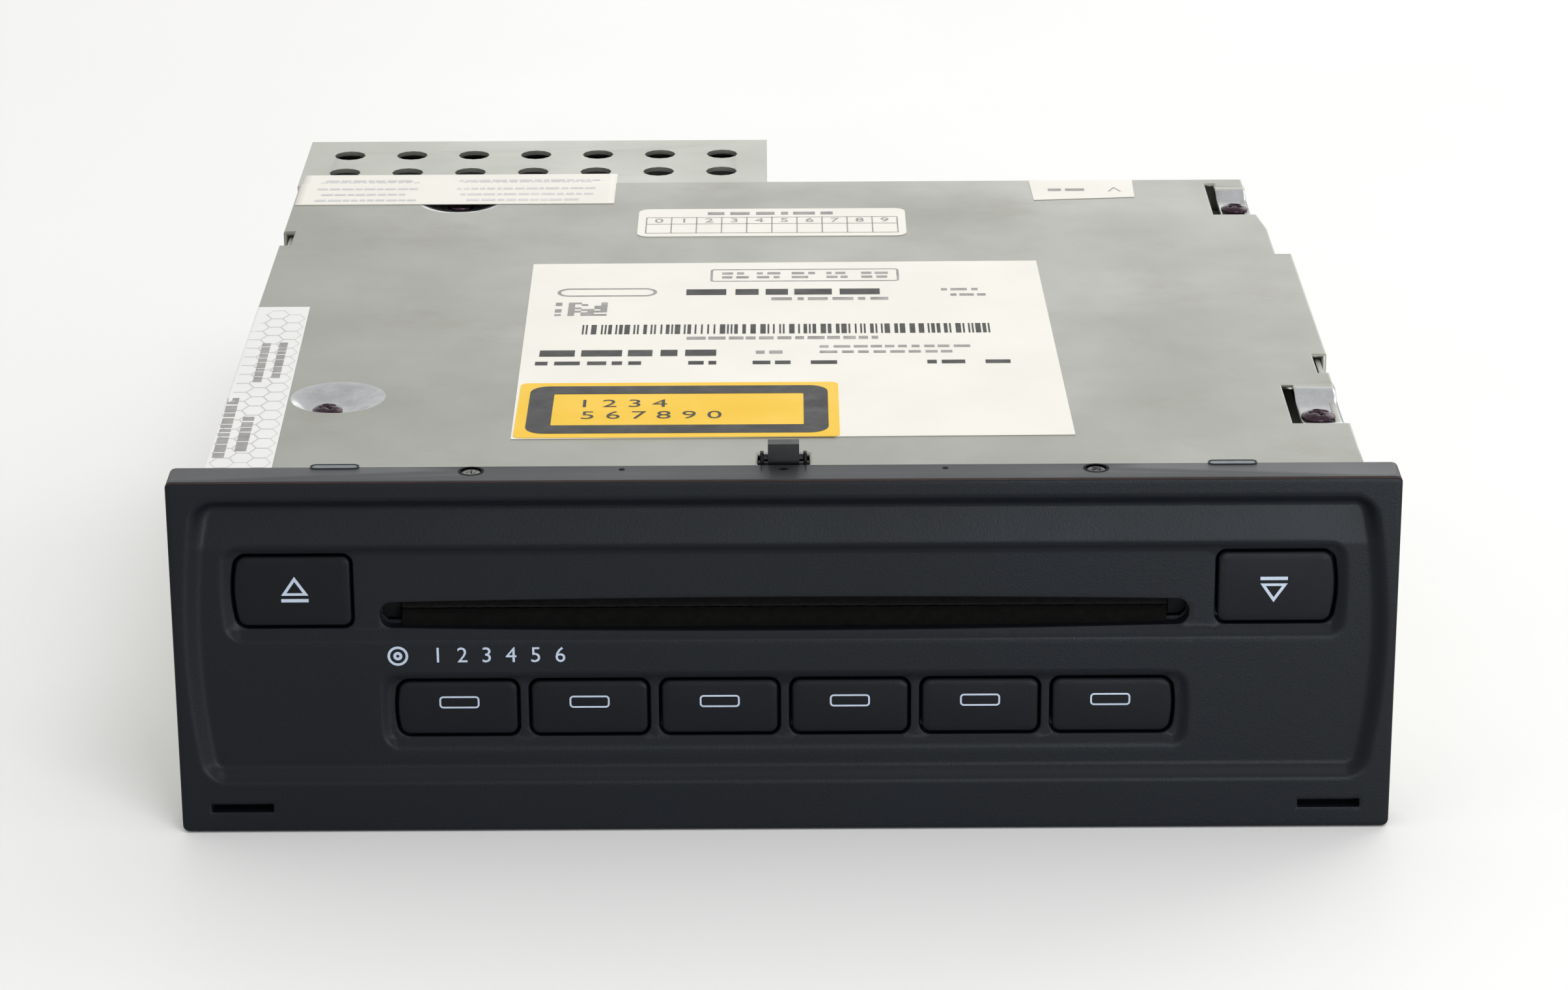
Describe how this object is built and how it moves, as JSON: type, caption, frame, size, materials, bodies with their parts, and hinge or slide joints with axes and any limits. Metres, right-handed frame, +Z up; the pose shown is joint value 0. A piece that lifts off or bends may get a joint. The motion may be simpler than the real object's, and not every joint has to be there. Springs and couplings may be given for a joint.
{
  "type": "car cd changer",
  "caption": "Single-slot dashboard disc changer: sheet-metal casing, dark face with buttons, and an inner tray lift with a swinging play arm.",
  "frame": {"origin": "under the middle of the whole box, on the level of its lowest face", "axes": "+X to the right seen from the front, +Y from the face to the back, +Z up"},
  "size_m": [0.188, 0.191, 0.0611],
  "materials": {
    "face_plastic": "fine-grained, satin",
    "button_plastic": "fine-grained, satin",
    "black_plastic": "moulded",
    "zinc_sheet": "zinc-plated sheet, dull",
    "steel": "bright",
    "brass": "yellow plated",
    "rubber": "dull",
    "felt": "short pile",
    "board_green": "solder mask",
    "white_plastic": "smooth",
    "motor_can": "drawn can",
    "pickup_black": "moulded"
  },
  "bodies": {
    "unit": {"bezel": "face_plastic", "dust_lip_lower": "felt", "dust_lip_upper": "felt", "slot_guide_left": "black_plastic", "slot_guide_right": "black_plastic", "switch_mat": "rubber", "button_board": "board_green", "bezel_screw_left": "steel", "bezel_screw_right": "steel", "cover_screw_front": "brass", "cover_screw_rear": "brass", "top_cover": "zinc_sheet", "chassis": "zinc_sheet", "vent_hood": "zinc_sheet", "harness_socket": "black_plastic", "main_board": "board_green", "damper_front_left": "rubber", "damper_front_right": "rubber", "damper_rear_left": "rubber", "damper_rear_right": "rubber", "mech_base": "zinc_sheet", "mech_top_plate": "zinc_sheet", "roller_bracket": "zinc_sheet", "loading_motor": "motor_can", "lift_motor": "motor_can", "lift_belt": "rubber"},
    "disc_button_1": {"disc_button_1": "button_plastic"},
    "disc_button_2": {"disc_button_2": "button_plastic"},
    "disc_button_3": {"disc_button_3": "button_plastic"},
    "disc_button_4": {"disc_button_4": "button_plastic"},
    "disc_button_5": {"disc_button_5": "button_plastic"},
    "disc_button_6": {"disc_button_6": "button_plastic"},
    "eject_button": {"eject_button": "button_plastic"},
    "load_button": {"load_button": "button_plastic"},
    "catch": {"catch": "black_plastic"},
    "loading_roller": {"loading_roller": "rubber", "roller_gear": "white_plastic"},
    "idler_gear": {"idler_gear": "white_plastic"},
    "loading_pinion": {"loading_pinion": "brass"},
    "lift_screw_front_right": {"lift_screw_front_right": "steel", "lift_gear": "white_plastic"},
    "lift_screw_front_left": {"lift_screw_front_left": "steel"},
    "lift_screw_rear_left": {"lift_screw_rear_left": "steel"},
    "lift_screw_rear_right": {"lift_screw_rear_right": "steel"},
    "lift_pinion": {"lift_pinion": "brass"},
    "tray_stack": {"disc_tray_1": "white_plastic", "disc_tray_2": "white_plastic", "disc_tray_3": "white_plastic", "disc_tray_4": "white_plastic", "disc_tray_5": "white_plastic", "disc_tray_6": "white_plastic"},
    "swing_arm": {"swing_arm": "steel", "spindle_motor": "motor_can", "guide_rod": "steel", "feed_motor": "motor_can"},
    "turntable": {"turntable": "white_plastic"},
    "clamp_arm": {"clamp_arm": "steel"},
    "clamper": {"clamper": "black_plastic"},
    "feed_screw": {"feed_screw": "steel"},
    "laser_pickup": {"laser_pickup": "pickup_black"}
  },
  "joints": [
    {"name": "disc_button_1_press", "type": "slide", "parent": "unit", "child": "disc_button_1", "axis": [0, 1, 0], "range_m": [0, 0.0008], "stiffness_N_per_m": 300},
    {"name": "disc_button_2_press", "type": "slide", "parent": "unit", "child": "disc_button_2", "axis": [0, 1, 0], "range_m": [0, 0.0008], "stiffness_N_per_m": 300},
    {"name": "disc_button_3_press", "type": "slide", "parent": "unit", "child": "disc_button_3", "axis": [0, 1, 0], "range_m": [0, 0.0008], "stiffness_N_per_m": 300},
    {"name": "disc_button_4_press", "type": "slide", "parent": "unit", "child": "disc_button_4", "axis": [0, 1, 0], "range_m": [0, 0.0008], "stiffness_N_per_m": 300},
    {"name": "disc_button_5_press", "type": "slide", "parent": "unit", "child": "disc_button_5", "axis": [0, 1, 0], "range_m": [0, 0.0008], "stiffness_N_per_m": 300},
    {"name": "disc_button_6_press", "type": "slide", "parent": "unit", "child": "disc_button_6", "axis": [0, 1, 0], "range_m": [0, 0.0008], "stiffness_N_per_m": 300},
    {"name": "eject_button_press", "type": "slide", "parent": "unit", "child": "eject_button", "axis": [0, 1, 0], "range_m": [0, 0.0008], "stiffness_N_per_m": 300},
    {"name": "load_button_press", "type": "slide", "parent": "unit", "child": "load_button", "axis": [0, 1, 0], "range_m": [0, 0.0008], "stiffness_N_per_m": 300},
    {"name": "catch_tilt", "type": "hinge", "parent": "unit", "child": "catch", "pos_m": [0, -0.0867, 0.0584], "axis": [-1, 0, 0], "range_deg": [0, 20], "stiffness_Nm_per_rad": 0.02},
    {"name": "roller_turn", "type": "hinge", "parent": "unit", "child": "loading_roller", "pos_m": [0, -0.0695, 0.03065], "axis": [1, 0, 0], "continuous": true},
    {"name": "idler_turn", "type": "hinge", "parent": "unit", "child": "idler_gear", "pos_m": [0, -0.0695, 0.01925], "axis": [1, 0, 0], "continuous": true},
    {"name": "loading_pinion_turn", "type": "hinge", "parent": "unit", "child": "loading_pinion", "pos_m": [0, -0.07586, 0.01289], "axis": [1, 0, 0], "continuous": true},
    {"name": "lift_screw_front_right_turn", "type": "hinge", "parent": "unit", "child": "lift_screw_front_right", "pos_m": [0.066, -0.0565, 0], "axis": [0, 0, 1], "range_deg": [0, 900.01]},
    {"name": "lift_screw_front_left_turn", "type": "hinge", "parent": "unit", "child": "lift_screw_front_left", "pos_m": [-0.066, -0.0565, 0], "axis": [0, 0, 1], "range_deg": [0, 900.01]},
    {"name": "lift_screw_rear_left_turn", "type": "hinge", "parent": "unit", "child": "lift_screw_rear_left", "pos_m": [-0.04, 0.0565, 0], "axis": [0, 0, 1], "range_deg": [0, 900.01]},
    {"name": "lift_screw_rear_right_turn", "type": "hinge", "parent": "unit", "child": "lift_screw_rear_right", "pos_m": [0.04, 0.0565, 0], "axis": [0, 0, 1], "range_deg": [0, 900.01]},
    {"name": "lift_pinion_turn", "type": "hinge", "parent": "unit", "child": "lift_pinion", "pos_m": [0.0732, -0.04403, 0], "axis": [0, 0, 1], "range_deg": [-2340.01, 0]},
    {"name": "tray_lift", "type": "slide", "parent": "unit", "child": "tray_stack", "axis": [0, 0, 1], "range_m": [-0.011, 0]},
    {"name": "swing_arm_turn", "type": "hinge", "parent": "unit", "child": "swing_arm", "pos_m": [-0.067, 0.0545, 0], "axis": [0, 0, 1], "range_deg": [0, 49.12]},
    {"name": "turntable_turn", "type": "hinge", "parent": "swing_arm", "child": "turntable", "pos_m": [-0.067, -0.03412, 0.0145], "axis": [0, 0, 1], "continuous": true},
    {"name": "clamp_arm_lift", "type": "hinge", "parent": "swing_arm", "child": "clamp_arm", "pos_m": [-0.067, 0.0445, 0.0197], "axis": [-1, 0, 0], "range_deg": [0, 1], "stiffness_Nm_per_rad": 0.05, "springref_deg": -11.46},
    {"name": "clamper_turn", "type": "hinge", "parent": "clamp_arm", "child": "clamper", "pos_m": [-0.067, -0.03412, 0.018], "axis": [0, 0, 1], "continuous": true},
    {"name": "feed_screw_turn", "type": "hinge", "parent": "swing_arm", "child": "feed_screw", "pos_m": [-0.0555, 0, 0.0098], "axis": [0, -1, 0], "range_deg": [-1485.01, 1485.01]},
    {"name": "pickup_slide", "type": "slide", "parent": "swing_arm", "child": "laser_pickup", "axis": [0, -1, 0], "range_m": [-0.0165, 0.0165]}
  ],
  "couplings": [
    {"joint": "idler_turn", "follows": "roller_turn", "ratio": -0.9},
    {"joint": "loading_pinion_turn", "follows": "roller_turn", "ratio": 1.8},
    {"joint": "lift_screw_front_right_turn", "follows": "tray_lift", "rad_per_m": -1428},
    {"joint": "lift_screw_front_left_turn", "follows": "tray_lift", "rad_per_m": -1428},
    {"joint": "lift_screw_rear_left_turn", "follows": "tray_lift", "rad_per_m": -1428},
    {"joint": "lift_screw_rear_right_turn", "follows": "tray_lift", "rad_per_m": -1428},
    {"joint": "lift_pinion_turn", "follows": "tray_lift", "rad_per_m": 3712.8},
    {"joint": "feed_screw_turn", "follows": "pickup_slide", "rad_per_m": -1570.8}
  ]
}
